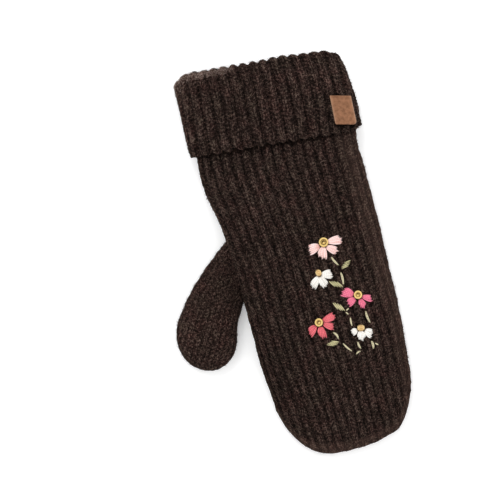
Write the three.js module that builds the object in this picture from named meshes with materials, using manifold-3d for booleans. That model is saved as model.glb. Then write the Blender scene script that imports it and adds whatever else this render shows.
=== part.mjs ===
// Knitted mitten with a turned-back cuff, a sewn-on thumb, a leather tag and flower embroidery,
// lying back side up on a table. Lengths are in millimetres.
// "across" runs from the thumb side (minus) to the little-finger side (plus), "along" runs from
// the wrist opening to the fingertips and "up" runs from the table.

import * as THREE from 'three';
import { mergeVertices } from 'three/addons/utils/BufferGeometryUtils.js';
import Module from 'manifold-3d';

const wasm = await Module();
wasm.setup();

// Cloth
const wall = 3.2;
const ribHeight = 1.0;
const ribCount = 34;
const stepsPerRib = 3;
const steps = ribCount * stepsPerRib;
const liningSteps = ribCount;
const thumbWall = 2.6;
const cuffGap = 0.5;
const partGap = 0.3;

// Section of the flattened tube
const sidePower = 4.5;
const middleShare = 0.45;
const flattening = 1.2;
const usualHand = { halfWidth: 49, halfHeight: 10.5 };
const usualThumb = { halfWidth: 17, halfHeight: 6.5 };
const tipRounding = 15;
const seamShare = 0.973;
const seamDepth = 0.8;
const seamWidth = 0.009;
const ribEnd = { from: 0.95, to: 0.985 };

// Fold, hem and tip lines, all along as a function of the place across from -1 to 1
const foldMiddle = -3.2;
const foldSlope = 5.2;
const foldCorner = 5;
const foldPower = 16;
const hemMiddle = 50.8;
const hemSlope = 5.8;
const hemCorner = 3;
const hemPower = 14;
const hemRounding = 0.9;
const tipShoulder = 212;
const tipLength = 40.3;
const tipPower = 2.8;

// Turns of the ribs round the hand, in steps, between the hem and the tip and over the cuff
const ribTurnHand = -3;
const ribTurnFrom = 0.15;
const ribTurnCuff = 1.8;

// Outer size of the hand and of the cuff, a row per section
const handSections = [
  { along: -12, left: -53.7, right: 40.8, top: 20.0, floor: 3.7 },
  { along: 0, left: -54.6, right: 43.7, top: 20.5, floor: 3.7 },
  { along: 7, left: -54.9, right: 45.9, top: 20.9, floor: 3.7 },
  { along: 15, left: -55.3, right: 47.6, top: 21.2, floor: 3.7 },
  { along: 28, left: -55.9, right: 48.3, top: 21.4, floor: 3.7 },
  { along: 42, left: -56.0, right: 48.3, top: 21.2, floor: 3.6 },
  { along: 54, left: -57.4, right: 47.2, top: 20.8, floor: 2.4 },
  { along: 66, left: -57.4, right: 46.1, top: 20.4, floor: 0.4 },
  { along: 79, left: -55.3, right: 46.2, top: 20.3, floor: 0 },
  { along: 100, left: -52.4, right: 45.8, top: 20.0, floor: 0 },
  { along: 120, left: -50.8, right: 45.1, top: 19.6, floor: 0 },
  { along: 143, left: -51.0, right: 44.2, top: 19.2, floor: 0 },
  { along: 160, left: -51.4, right: 43.6, top: 18.8, floor: 0 },
  { along: 184, left: -52.0, right: 41.8, top: 18.0, floor: 0 },
  { along: 205, left: -50.8, right: 39.9, top: 17.0, floor: 0 },
  { along: 222, left: -49.6, right: 38.4, top: 16.0, floor: 0 },
  { along: 254, left: -48.0, right: 36.4, top: 13.5, floor: 0 },
];
const cuffSections = [
  { along: -12, left: -57.4, right: 44.5, top: 23.6, floor: 0 },
  { along: 0, left: -58.3, right: 47.4, top: 24.2, floor: 0 },
  { along: 7, left: -58.6, right: 49.6, top: 24.6, floor: 0 },
  { along: 15, left: -59.0, right: 51.3, top: 24.9, floor: 0 },
  { along: 28, left: -59.6, right: 52.0, top: 25.1, floor: 0 },
  { along: 42, left: -59.7, right: 52.1, top: 24.9, floor: 0 },
  { along: 58, left: -58.7, right: 51.1, top: 24.4, floor: 0 },
];

// Where the hand is lifted by the thumb below it
const thumbLift = {
  height: 13, from: -36, to: -6, start: 58, full: 98, hold: 156, end: 204, squeeze: 0.35,
};

// Shallow hollows in the back of the hand
const dents = [
  { across: -20, along: 92, wide: 22, long: 30, deep: 0.9 },
  { across: 26, along: 112, wide: 14, long: 26, deep: 0.8 },
  { across: -24, along: 178, wide: 20, long: 24, deep: 1.0 },
  { across: 6, along: 216, wide: 26, long: 16, deep: 0.8 },
];

// Thumb sections from its root inside the hand to its end, "shift" is off the straight axis
const thumbRoot = { across: -35, along: 108 };
const thumbAim = { across: -0.66, along: 0.7513 };
const thumbSections = [
  { reach: -22, shift: 1.5, half: 10.5, middle: 15.4, rise: 5.6 },
  { reach: -10, shift: 0.5, half: 12.6, middle: 14.6, rise: 6.0 },
  { reach: 0, shift: -1.0, half: 14.0, middle: 11.8, rise: 6.2 },
  { reach: 10, shift: -2.8, half: 14.8, middle: 8.4, rise: 6.3 },
  { reach: 20, shift: -4.4, half: 15.2, middle: 6.3, rise: 6.1 },
  { reach: 34, shift: -5.6, half: 15.9, middle: 6.2, rise: 6.1 },
  { reach: 47, shift: -5.6, half: 17.4, middle: 6.9, rise: 7.0 },
  { reach: 58, shift: -3.4, half: 19.2, middle: 7.5, rise: 7.9 },
  { reach: 67, shift: -1.5, half: 20.3, middle: 7.7, rise: 8.2 },
  { reach: 90, shift: 1.5, half: 20.3, middle: 6.8, rise: 7.2 },
];
const thumbShoulder = 66.5;
const thumbEnd = 88;
const thumbSteps = 32;
const thumbRounding = 13;
const thumbSidePower = 2.6;
const thumbEndPower = 2.1;
const thumbStart = -16;
const passageStart = -20;

// Leather tag, sewn on the cuff beside its little-finger edge
const tag = {
  topLeft: [35.7, 30.7], topRight: [48.9, 34.1], bottomRight: [47.9, 52.9], bottomLeft: [34.4, 49.3],
  thickness: 1.5, bevel: 0.4, lift: 0.55, bendFrom: 0.86, bendSlope: 0.42, curl: 0.45,
  columns: 6, rows: 5,
};

// Embroidery. The outline of a petal starts at its foot beside the flower's eye and goes round it
const threadEdge = 0.45;
const threadCrown = 1.25;
const crownShare = 0.42;
const petalHeart = 1.4;
const eyeCrown = { ring: 1.3, dome: 1.7 };
const eyeHeart = { ring: 0.7, dome: 2.1 };
const leafCrown = 1.1;
const leafHeart = 1.2;
const stemCrown = 0.9;
const stemHeart = 1.0;
const outlineTension = 0.62;
const petalSteps = 12;
const leafSteps = 10;
const flowers = [
  { name: 'pale_pink', colour: 'palePink', eye: 'ring', at: [7.4, 119.1], wide: 2.75, long: 2.75, petals: [
    [[10.7, 119.6], [13.4, 117.8], [17.6, 117.5], [19.4, 122.2], [13.7, 122.2]],
    [[9.0, 122.8], [12.6, 122.8], [14.8, 125.9], [13.1, 128.9], [9.9, 126.4]],
    [[6.3, 122.7], [3.4, 123.1], [1.8, 125.6], [3.5, 128.9], [6.0, 129.8], [7.6, 125.5]],
    [[3.6, 120.8], [1.6, 118.6], [-1.5, 118.1], [-3.2, 121.2], [-2.6, 125.6], [1.1, 123.4]],
  ] },
  { name: 'white_upper', colour: 'white', eye: 'dome', at: [-0.9, 137.0], wide: 1.85, long: 2.2, petals: [
    [[-2.1, 139.9], [-4.7, 139.6], [-7.5, 142.6], [-7.1, 145.8], [-4.6, 145.9], [-2.8, 143.1]],
    [[-0.5, 140.4], [-1.9, 143.1], [-1.6, 145.3], [0.7, 147.6], [2.7, 145.7], [2.3, 141.9]],
    [[1.3, 138.7], [3.7, 136.8], [6.6, 137.2], [7.3, 142.6], [4.7, 142.5]],
  ] },
  { name: 'rose', colour: 'rose', eye: 'ring', at: [19.6, 157.1], wide: 2.6, long: 2.6, petals: [
    [[16.2, 156.2], [15.9, 152.5], [13.5, 150.8], [10.8, 151.9], [9.0, 155.0], [12.4, 156.7]],
    [[16.6, 159.3], [14.3, 158.1], [11.9, 158.0], [12.2, 163.4], [15.2, 161.8]],
    [[20.4, 160.8], [18.6, 162.1], [19.3, 164.9], [21.1, 167.0], [22.6, 164.4], [22.2, 161.9]],
    [[22.4, 159.3], [24.8, 158.7], [27.3, 159.9], [27.1, 164.3], [23.8, 161.8]],
  ] },
  { name: 'coral', colour: 'coral', eye: 'ring', at: [-9.1, 167.4], wide: 2.55, long: 2.55, petals: [
    [[-5.8, 167.0], [-3.3, 165.0], [-0.1, 163.7], [2.6, 166.2], [-0.1, 168.4], [-3.4, 168.4]],
    [[-6.0, 169.5], [-2.7, 169.4], [-0.3, 171.1], [-1.6, 174.9], [-4.9, 172.4]],
    [[-8.6, 171.1], [-11.0, 172.0], [-11.5, 174.5], [-9.1, 178.1], [-6.8, 177.9], [-6.9, 173.2]],
    [[-12.1, 169.5], [-14.1, 168.4], [-16.7, 169.8], [-16.3, 175.1], [-13.2, 172.9]],
  ] },
  { name: 'white_lower', colour: 'white', eye: 'dome', at: [15.8, 177.9], wide: 2.5, long: 2.1, petals: [
    [[12.5, 178.7], [11.1, 176.9], [9.1, 177.6], [9.1, 180.5], [11.4, 181.1]],
    [[15.0, 180.4], [12.6, 181.2], [12.5, 184.1], [14.3, 186.4], [16.5, 184.7], [17.1, 181.8]],
    [[18.3, 180.7], [20.1, 179.6], [22.3, 180.7], [22.0, 183.8], [19.6, 186.7], [18.1, 183.4]],
  ] },
];
const leaves = [
  { from: [14.0, 138.4], to: [21.0, 134.7], wide: 3.0 },
  { from: [4.0, 144.0], to: [11.9, 149.8], wide: 3.0 },
  { from: [2.7, 157.9], to: [9.0, 164.7], wide: 2.9 },
  { from: [-7.6, 182.6], to: [0.1, 183.0], wide: 3.2 },
];
const stems = [
  { from: [9.7, 129.6], to: [12.7, 135.7], bow: 0.3, wide: 1.5 },
  { from: [12.8, 140.5], to: [12.4, 148.4], bow: -0.3, wide: 1.6 },
  { from: [11.6, 163.8], to: [9.8, 164.8], bow: 0, wide: 1.0 },
  { from: [9.3, 165.7], to: [10.4, 167.6], bow: 0, wide: 1.0 },
  { from: [11.1, 169.8], to: [10.7, 175.2], bow: 0.2, wide: 1.2 },
  { from: [21.5, 168.4], to: [22.4, 176.4], bow: 0.4, wide: 1.6 },
  { from: [11.5, 186.0], to: [12.3, 190.6], bow: 0.3, wide: 1.4 },
  { from: [11.6, 192.1], to: [8.5, 193.3], bow: 0.3, wide: 1.1 },
  { from: [20.1, 187.8], to: [20.0, 192.8], bow: -0.3, wide: 1.7 },
  { from: [21.9, 189.7], to: [23.9, 191.5], bow: 0, wide: 1.0 },
  { from: [-2.1, 176.0], to: [0.1, 181.0], bow: -0.8, wide: 1.5 },
  { from: [2.2, 184.4], to: [6.4, 190.7], bow: 0.3, wide: 1.2 },
];

// Outline of a stem, as shares of its length and of half its width
const stemEdge = [
  { along: 0, side: -0.6 }, { along: 0.3, side: -1 }, { along: 0.7, side: -1 }, { along: 1, side: -0.6 },
  { along: 1, side: 0.6 }, { along: 0.7, side: 1 }, { along: 0.3, side: 1 }, { along: 0, side: 0.6 },
];

const colours = {
  knit: '#30251f', plainKnit: '#35271f', leather: '#97694a', palePink: '#f6d6cc', white: '#eceae4',
  rose: '#ea7594', coral: '#ee5b68', gold: '#c39a4e', orange: '#d99c4f', leaf: '#a59a72', stem: '#bcae88',
};

const group = new THREE.Group();
group.name = 'embroidered_mitten';

function material(colour, roughness) {
  return new THREE.MeshStandardMaterial({ color: colour, roughness, metalness: 0 });
}

const knitMaterial = () => material(colours.knit, 0.95);
const plainKnitMaterial = () => material(colours.plainKnit, 0.95);
const leatherMaterial = () => material(colours.leather, 0.6);
const threadMaterial = (name) => material(colours[name], 0.7);

function smooth(low, high, value) {
  return THREE.MathUtils.smoothstep(value, low, high);
}

// Smooth values between the rows of a section table
function rowAt(table, key, value) {
  const last = table.length - 1;
  let i = 0;
  while (i < last - 1 && value > table[i + 1][key]) i += 1;
  const rows = [table[Math.max(i - 1, 0)], table[i], table[i + 1], table[Math.min(i + 2, last)]];
  const span = rows[2][key] - rows[1][key];
  const t = THREE.MathUtils.clamp((value - rows[1][key]) / span, 0, 1);
  const result = {};
  for (const name of Object.keys(rows[1])) {
    const slopeIn = (rows[2][name] - rows[0][name]) / (rows[2][key] - rows[0][key]) * span;
    const slopeOut = (rows[3][name] - rows[1][name]) / (rows[3][key] - rows[1][key]) * span;
    const rise = rows[2][name] - rows[1][name];
    const bend = (slopeIn + slopeOut - 2 * rise) * t + 3 * rise - 2 * slopeIn - slopeOut;
    result[name] = rows[1][name] + t * (slopeIn + t * bend);
  }
  return result;
}

// Half a section from side to side over the top, cut into equal lengths of cloth
function evenWalk(power, size) {
  const fine = 1440;
  const places = [];
  const lengths = [0];
  for (let i = 0; i <= fine; i += 1) {
    const angle = Math.PI * i / fine;
    const c = Math.cos(angle);
    places.push({ side: Math.sign(c) * Math.abs(c) ** (2 / power), height: Math.sin(angle) });
    if (i > 0) {
      const dx = (places[i].side - places[i - 1].side) * size.halfWidth;
      const dz = (places[i].height - places[i - 1].height) * size.halfHeight;
      lengths.push(lengths[i - 1] + Math.hypot(dx, dz));
    }
  }
  return (share) => {
    const goal = share * lengths[fine];
    let low = 0;
    let high = fine;
    while (high - low > 1) {
      const mid = (low + high) >> 1;
      if (lengths[mid] < goal) low = mid;
      else high = mid;
    }
    const t = (goal - lengths[low]) / Math.max(lengths[high] - lengths[low], 1e-9);
    return THREE.MathUtils.clamp(THREE.MathUtils.lerp(places[low].side, places[high].side, t), -1, 1);
  };
}

const handWalk = evenWalk(sidePower, usualHand);
const thumbWalk = evenWalk(thumbSidePower, usualThumb);

// Place round a section: side from -1 to 1, over or under the middle
function placeAround(walk, share) {
  const turn = ((share % 1) + 1) % 1;
  if (turn <= 0.5) return { side: walk(turn * 2), over: true };
  return { side: walk((1 - turn) * 2), over: false };
}

function foldLine(side) {
  return foldMiddle + foldSlope * side + foldCorner * Math.abs(side) ** foldPower;
}

function hemLine(side) {
  return hemMiddle + hemSlope * side - hemCorner * Math.max(0, side) ** hemPower;
}

function tipLine(side, inset) {
  return tipShoulder - inset + tipLength * Math.sqrt(Math.max(0, 1 - Math.abs(side) ** tipPower));
}

function liftAt(across, along) {
  const sideways = 1 - smooth(thumbLift.from, thumbLift.to, across);
  const lengthways = smooth(thumbLift.start, thumbLift.full, along)
    * (1 - smooth(thumbLift.hold, thumbLift.end, along));
  return thumbLift.height * sideways * lengthways;
}

function dentAt(across, along) {
  let depth = 0;
  for (const dent of dents) {
    const r = ((across - dent.across) / dent.wide) ** 2 + ((along - dent.along) / dent.long) ** 2;
    depth += dent.deep * Math.exp(-r);
  }
  return depth;
}

// Sheets of cloth: the outside of the hand, its inside, and the two sides of the cuff
const handOutside = { sections: handSections, inset: 0, tip: true };
const handInside = { sections: handSections, inset: wall, tip: true };
const cuffOutside = { sections: cuffSections, inset: 0, tip: false };
const cuffInside = { sections: cuffSections, inset: wall, tip: false };

function clothPoint(sheet, side, over, along) {
  const row = rowAt(sheet.sections, 'along', along);
  const centre = (row.left + row.right) / 2;
  const half = (row.right - row.left) / 2 - sheet.inset;
  const floor = Math.max(0, row.floor);
  const middle = floor + (row.top - floor) * middleShare;
  const toTip = sheet.tip ? Math.max(0, tipLine(side, sheet.inset) - along) : tipRounding;
  const rounding = tipRounding - sheet.inset;
  const tip = Math.sqrt(1 - (1 - Math.min(1, toTip / rounding)) ** 2);
  const height = Math.sqrt(Math.max(0, 1 - Math.abs(side) ** sidePower)) * tip;
  const across = centre + side * half;
  const lift = liftAt(across, along);
  let up;
  if (over) {
    up = middle + (row.top - middle - sheet.inset) * height;
    up += lift * (1 - thumbLift.squeeze * height) - dentAt(across, along) * height;
  } else {
    const down = middle - floor - sheet.inset + flattening;
    up = Math.max(middle - down * height, floor + sheet.inset) + lift;
  }
  return new THREE.Vector3(across, along, up);
}

// One ring of cloth. "line" gives its place along for each side place
function clothRing(sheet, line, count, turn) {
  const ring = [];
  for (let i = 0; i < count; i += 1) {
    const place = placeAround(handWalk, (i / count) + turn / steps);
    ring.push(clothPoint(sheet, place.side, place.over, line(place.side)));
  }
  return ring;
}

// Outward directions in the plane of a ring
function ringNormals(ring) {
  return ring.map((point, i) => {
    const next = ring[(i + 1) % ring.length];
    const before = ring[(i + ring.length - 1) % ring.length];
    const normal = new THREE.Vector3(next.z - before.z, 0, before.x - next.x);
    return normal.lengthSq() > 1e-9 ? normal.normalize() : new THREE.Vector3(0, 0, 1);
  });
}

// Pushes the furrow beside each rib in by the rib height
function furrowed(ring, depth) {
  const normals = ringNormals(ring);
  return ring.map((point, i) => {
    const furrow = i % stepsPerRib === 0 ? depth : 0;
    return point.clone().addScaledVector(normals[i], -furrow);
  });
}

function grown(ring, distance) {
  const normals = ringNormals(ring);
  return ring.map((point, i) => point.clone().addScaledVector(normals[i], distance));
}

// Triangles between two rings, which may differ in count
function stitchRings(triangles, first, second) {
  let i = 0;
  let j = 0;
  while (i < first.length || j < second.length) {
    const a = first[i % first.length];
    const b = second[j % second.length];
    const stepFirst = j >= second.length
      || (i < first.length && (i + 0.5) / first.length <= (j + 0.5) / second.length);
    if (stepFirst) {
      triangles.push([a, b, first[(i + 1) % first.length]]);
      i += 1;
    } else {
      triangles.push([a, b, second[(j + 1) % second.length]]);
      j += 1;
    }
  }
}

function fan(triangles, ring, flip) {
  const centre = ring.reduce((sum, p) => sum.add(p), new THREE.Vector3()).divideScalar(ring.length);
  ring.forEach((point, i) => {
    const next = ring[(i + 1) % ring.length];
    triangles.push(flip ? [centre, next, point] : [centre, point, next]);
  });
}

function solidFrom(triangles) {
  const positions = [];
  const micron = (value) => Math.round(value * 1000) / 1000;
  for (const corners of triangles) {
    for (const p of corners) positions.push(micron(p.x), micron(p.y), micron(p.z));
  }
  const loose = new THREE.BufferGeometry();
  loose.setAttribute('position', new THREE.Float32BufferAttribute(positions, 3));
  const geometry = mergeVertices(loose, 1e-4);
  const kept = [];
  const index = geometry.index.array;
  for (let i = 0; i < index.length; i += 3) {
    const [a, b, c] = [index[i], index[i + 1], index[i + 2]];
    if (a !== b && b !== c && c !== a) kept.push(a, b, c);
  }
  geometry.setIndex(kept);
  return geometry;
}

function loft(rings, closedEnds) {
  const triangles = [];
  for (let i = 0; i + 1 < rings.length; i += 1) stitchRings(triangles, rings[i], rings[i + 1]);
  if (closedEnds.first) fan(triangles, rings[0], false);
  if (closedEnds.last) fan(triangles, rings[rings.length - 1], true);
  return solidFrom(triangles);
}

function toManifold(geometry) {
  const mesh = new wasm.Mesh({
    numProp: 3,
    vertProperties: new Float32Array(geometry.attributes.position.array),
    triVerts: new Uint32Array(geometry.index.array),
  });
  return new wasm.Manifold(mesh);
}

function fromManifold(manifold) {
  const mesh = manifold.getMesh();
  const geometry = new THREE.BufferGeometry();
  geometry.setAttribute('position', new THREE.Float32BufferAttribute(mesh.vertProperties, 3));
  geometry.setIndex(Array.from(mesh.triVerts));
  return geometry;
}

// From cloth coordinates to the frame: the cuff end is at +Y and the thumb at -X
function addPiece(name, geometry, pieceMaterial) {
  const source = geometry.attributes.position.array;
  const turned = new Float32Array(source.length);
  for (let i = 0; i < source.length; i += 3) {
    turned[i] = source[i];
    turned[i + 1] = -source[i + 1];
    turned[i + 2] = source[i + 2];
  }
  const flipped = [];
  const index = geometry.index.array;
  for (let i = 0; i < index.length; i += 3) flipped.push(index[i], index[i + 2], index[i + 1]);
  const placed = new THREE.BufferGeometry();
  placed.setAttribute('position', new THREE.Float32BufferAttribute(turned, 3));
  placed.setIndex(flipped);
  placed.computeVertexNormals();
  const mesh = new THREE.Mesh(placed, pieceMaterial);
  mesh.name = name;
  group.add(mesh);
}

// Rings of the hand below the hem, as shares of the way from the hem to the tip
const handShares = [
  0.02, 0.09, 0.17, 0.25, 0.33, 0.41, 0.49, 0.57, 0.65, 0.73, 0.81, 0.88, 0.93, 0.958, 0.973, 0.988, 1,
];

function handLine(share, inset) {
  return (side) => THREE.MathUtils.lerp(hemLine(side), tipLine(side, inset), share);
}

function handTurn(share) {
  return ribTurnHand * smooth(ribTurnFrom, 1, share);
}

// Depth of the furrows, which run out into the seam near the sewn tip
function tipRelief(share) {
  return ribHeight * (1 - smooth(ribEnd.from, ribEnd.to, share));
}

// The seam round the tip stands up behind a narrow dip
function seamDip(share) {
  return seamDepth * Math.exp(-(((share - seamShare) / seamWidth) ** 2));
}

function cuffLine(share) {
  return (side) => THREE.MathUtils.lerp(foldLine(side), hemLine(side), share);
}

function belowFold(distance) {
  return (side) => foldLine(side) + distance;
}

function handShell() {
  const rings = [];
  const insideShares = [1, 0.985, 0.95, 0.88, 0.76, 0.62, 0.48, 0.34, 0.2, 0.06];
  for (const share of insideShares) {
    rings.push(clothRing(handInside, handLine(share, handInside.inset), liningSteps, 0));
  }
  rings.push(clothRing(handInside, cuffLine(0.6), liningSteps, 0));
  rings.push(clothRing(handInside, belowFold(8), liningSteps, 0));

  const foldWidth = 2 * wall + cuffGap;
  // Rings round the fold: distance below it, depth from the outside and share of the furrows
  const foldSteps = [
    { below: 2.6, inset: foldWidth, relief: 0 },
    { below: 0.7, inset: foldWidth * 0.8, relief: 0.3 },
    { below: 0, inset: foldWidth * 0.5, relief: 0.7 },
    { below: 0.7, inset: foldWidth * 0.2, relief: 1 },
    { below: 3.6, inset: 0, relief: 1 },
  ];
  for (const step of foldSteps) {
    const sheet = { sections: cuffSections, inset: step.inset, tip: false };
    const ring = clothRing(sheet, belowFold(step.below), steps, 0);
    rings.push(furrowed(ring, ribHeight * step.relief));
  }
  for (const share of [0.32, 0.6, 0.85, 0.975]) {
    rings.push(furrowed(clothRing(cuffOutside, cuffLine(share), steps, ribTurnCuff * share), ribHeight));
  }
  const hemSheet = { sections: cuffSections, inset: hemRounding, tip: false };
  rings.push(furrowed(clothRing(hemSheet, cuffLine(1), steps, ribTurnCuff), ribHeight));
  rings.push(clothRing(cuffInside, cuffLine(0.99), steps, ribTurnCuff));
  rings.push(clothRing(cuffInside, cuffLine(0.5), liningSteps, ribTurnCuff * 0.5));
  rings.push(clothRing(cuffInside, belowFold(5.5), liningSteps, 0));
  rings.push(clothRing(handOutside, belowFold(5.5), liningSteps, 0));
  rings.push(clothRing(handOutside, cuffLine(0.5), liningSteps, 0));
  rings.push(furrowed(clothRing(handOutside, cuffLine(0.93), steps, 0), ribHeight));

  for (const share of handShares) {
    const ring = clothRing(handOutside, handLine(share, 0), steps, handTurn(share));
    const dipped = share < 1 ? grown(ring, -seamDip(share)) : ring;
    rings.push(share < 1 ? furrowed(dipped, tipRelief(share)) : dipped);
  }
  return loft(rings, { first: false, last: false });
}

// The hand without its furrows, grown a little and filled in, to part the thumb from it
function handEnvelope() {
  const rings = handShares.map((share) => {
    const ring = clothRing(handOutside, handLine(share, 0), steps, handTurn(share));
    return share < 1 ? grown(ring, partGap) : ring;
  });
  return loft(rings, { first: true, last: false });
}

function thumbLine(side, inset) {
  const span = thumbEnd - thumbShoulder - inset;
  return thumbShoulder + span * Math.sqrt(Math.max(0, 1 - Math.abs(side) ** thumbEndPower));
}

function thumbPoint(inset, side, over, reach) {
  const row = rowAt(thumbSections, 'reach', reach);
  const half = row.half - inset;
  const toEnd = Math.max(0, thumbLine(side, inset) - reach);
  const rounding = thumbRounding - inset;
  const end = Math.sqrt(1 - (1 - Math.min(1, toEnd / rounding)) ** 2);
  const height = Math.sqrt(Math.max(0, 1 - Math.abs(side) ** thumbSidePower)) * end;
  const sideways = row.shift + side * half;
  const across = thumbRoot.across + thumbAim.across * reach + thumbAim.along * sideways;
  const along = thumbRoot.along + thumbAim.along * reach - thumbAim.across * sideways;
  const rise = (row.rise - inset) * height;
  const up = over ? row.middle + rise : Math.max(row.middle - rise, inset);
  return new THREE.Vector3(across, along, up);
}

function thumbSkin(inset, start, count) {
  const shares = [0, 0.1, 0.2, 0.3, 0.4, 0.52, 0.64, 0.75, 0.84, 0.91, 0.96, 0.99, 1];
  const rings = shares.map((share) => {
    const ring = [];
    for (let i = 0; i < count; i += 1) {
      const place = placeAround(thumbWalk, i / count);
      const reach = THREE.MathUtils.lerp(start, thumbLine(place.side, inset), share);
      ring.push(thumbPoint(inset, place.side, place.over, reach));
    }
    return ring;
  });
  return toManifold(loft(rings, { first: true, last: false }));
}

function addHandAndThumb() {
  const passage = thumbSkin(thumbWall, passageStart, thumbSteps);
  const hand = toManifold(handShell()).subtract(passage);
  addPiece('hand', fromManifold(hand), knitMaterial());

  const thumb = thumbSkin(0, thumbStart, thumbSteps).subtract(passage).subtract(toManifold(handEnvelope()));
  const pieces = thumb.decompose();
  pieces.sort((a, b) => b.volume() - a.volume());
  addPiece('thumb', fromManifold(pieces[0]), plainKnitMaterial());
}

// Height of the back of the hand or of the cuff above the table at a place
function backHeight(sheet, across, along) {
  const row = rowAt(sheet.sections, 'along', along);
  const half = (row.right - row.left) / 2;
  const side = THREE.MathUtils.clamp((across - (row.left + row.right) / 2) / half, -1, 1);
  return clothPoint(sheet, side, true, along).z;
}

// Closed smooth outline through a few points
function roundOutline(corners, count) {
  const points = corners.map(([x, y]) => new THREE.Vector3(x, y, 0));
  const curve = new THREE.CatmullRomCurve3(points, true, 'catmullrom', outlineTension);
  return curve.getPoints(count).slice(0, count);
}

// A raised pad of thread on the back of the hand. "crown" is the thickness within the outline
// and "heart" the thickness at its centre
function threadPad(outline, crown, heart) {
  const area = outline.reduce((sum, p, i) => {
    const q = outline[(i + 1) % outline.length];
    return sum + p.x * q.y - q.x * p.y;
  }, 0);
  const edge = area > 0 ? outline : [...outline].reverse();
  const middle = edge.reduce((sum, p) => sum.add(p), new THREE.Vector3()).divideScalar(edge.length);
  const onBack = (p, thickness) => {
    const base = backHeight(handOutside, p.x, p.y) + partGap;
    return new THREE.Vector3(p.x, p.y, base + thickness);
  };
  const bottom = edge.map((p) => onBack(p, 0));
  const side = edge.map((p) => onBack(p, threadEdge));
  const ridge = edge.map((p) => onBack(p.clone().lerp(middle, crownShare), crown));
  const triangles = [];
  const underMiddle = onBack(middle, 0);
  const overMiddle = onBack(middle, heart);
  edge.forEach((point, i) => {
    const j = (i + 1) % edge.length;
    triangles.push([underMiddle, bottom[j], bottom[i]]);
    triangles.push([bottom[i], bottom[j], side[j]], [bottom[i], side[j], side[i]]);
    triangles.push([side[i], side[j], ridge[j]], [side[i], ridge[j], ridge[i]]);
    triangles.push([ridge[i], ridge[j], overMiddle]);
  });
  return solidFrom(triangles);
}

function addFlower(flower) {
  flower.petals.forEach((corners, i) => {
    const pad = threadPad(roundOutline(corners, petalSteps), threadCrown, petalHeart);
    addPiece(`${flower.name}_petal_${i + 1}`, pad, threadMaterial(flower.colour));
  });
  const eye = [];
  for (let i = 0; i < petalSteps; i += 1) {
    const angle = 2 * Math.PI * i / petalSteps;
    const x = flower.at[0] + flower.wide * Math.cos(angle);
    eye.push(new THREE.Vector3(x, flower.at[1] + flower.long * Math.sin(angle), 0));
  }
  const pad = threadPad(eye, eyeCrown[flower.eye], eyeHeart[flower.eye]);
  addPiece(`${flower.name}_eye`, pad, threadMaterial(flower.eye === 'ring' ? 'gold' : 'orange'));
}

function addLeaf(leaf, number) {
  const [ax, ay] = leaf.from;
  const [bx, by] = leaf.to;
  const length = Math.hypot(bx - ax, by - ay);
  const offX = -(by - ay) / length * leaf.wide / 2;
  const offY = (bx - ax) / length * leaf.wide / 2;
  const midX = (ax + bx) / 2;
  const midY = (ay + by) / 2;
  const corners = [leaf.from, [midX + offX, midY + offY], leaf.to, [midX - offX, midY - offY]];
  const pad = threadPad(roundOutline(corners, leafSteps), leafCrown, leafHeart);
  addPiece(`leaf_${number}`, pad, threadMaterial('leaf'));
}

function addStem(stem, number) {
  const [ax, ay] = stem.from;
  const [bx, by] = stem.to;
  const length = Math.hypot(bx - ax, by - ay);
  const sideX = -(by - ay) / length;
  const sideY = (bx - ax) / length;
  const centre = (t) => {
    const bow = stem.bow * 4 * t * (1 - t);
    return [ax + (bx - ax) * t + sideX * bow, ay + (by - ay) * t + sideY * bow];
  };
  const outline = [];
  for (const edge of stemEdge) {
    const [x, y] = centre(edge.along);
    const off = edge.side * stem.wide / 2;
    outline.push(new THREE.Vector3(x + sideX * off, y + sideY * off, 0));
  }
  addPiece(`stem_${number}`, threadPad(outline, stemCrown, stemHeart), threadMaterial('stem'));
}

// The tag is stiff: it follows the cuff up to the bend and then hangs straight past it
function addTag() {
  const point = (i, j, raise) => {
    const s = i / tag.columns;
    const t = j / tag.rows;
    const x = THREE.MathUtils.lerp(
      THREE.MathUtils.lerp(tag.topLeft[0], tag.topRight[0], s),
      THREE.MathUtils.lerp(tag.bottomLeft[0], tag.bottomRight[0], s), t);
    const y = THREE.MathUtils.lerp(
      THREE.MathUtils.lerp(tag.topLeft[1], tag.topRight[1], s),
      THREE.MathUtils.lerp(tag.bottomLeft[1], tag.bottomRight[1], s), t);
    const row = rowAt(cuffSections, 'along', y);
    const bend = (row.left + row.right) / 2 + tag.bendFrom * (row.right - row.left) / 2;
    const held = backHeight(cuffOutside, Math.min(x, bend), y);
    const fall = Math.max(0, x - bend);
    const up = held + tag.lift - fall * tag.bendSlope + tag.curl * t * t;
    return new THREE.Vector3(x, y, up + raise);
  };
  const rings = [];
  const border = (raise, shrink) => {
    const ring = [];
    const add = (i, j) => {
      const s = THREE.MathUtils.lerp(i, tag.columns / 2, shrink);
      const t = THREE.MathUtils.lerp(j, tag.rows / 2, shrink);
      ring.push(point(s, t, raise));
    };
    for (let j = 0; j < tag.rows; j += 1) add(0, j);
    for (let i = 0; i < tag.columns; i += 1) add(i, tag.rows);
    for (let j = tag.rows; j > 0; j -= 1) add(tag.columns, j);
    for (let i = tag.columns; i > 0; i -= 1) add(i, 0);
    return ring;
  };
  rings.push(border(0, 0.75), border(0, 0.35), border(0, 0));
  rings.push(border(tag.thickness - tag.bevel, 0));
  rings.push(border(tag.thickness, 0.06), border(tag.thickness, 0.35), border(tag.thickness, 0.75));
  addPiece('tag', loft(rings, { first: true, last: true }), leatherMaterial());
}

addHandAndThumb();
addTag();
flowers.forEach(addFlower);
leaves.forEach((leaf, i) => addLeaf(leaf, i + 1));
stems.forEach((stem, i) => addStem(stem, i + 1));

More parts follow.
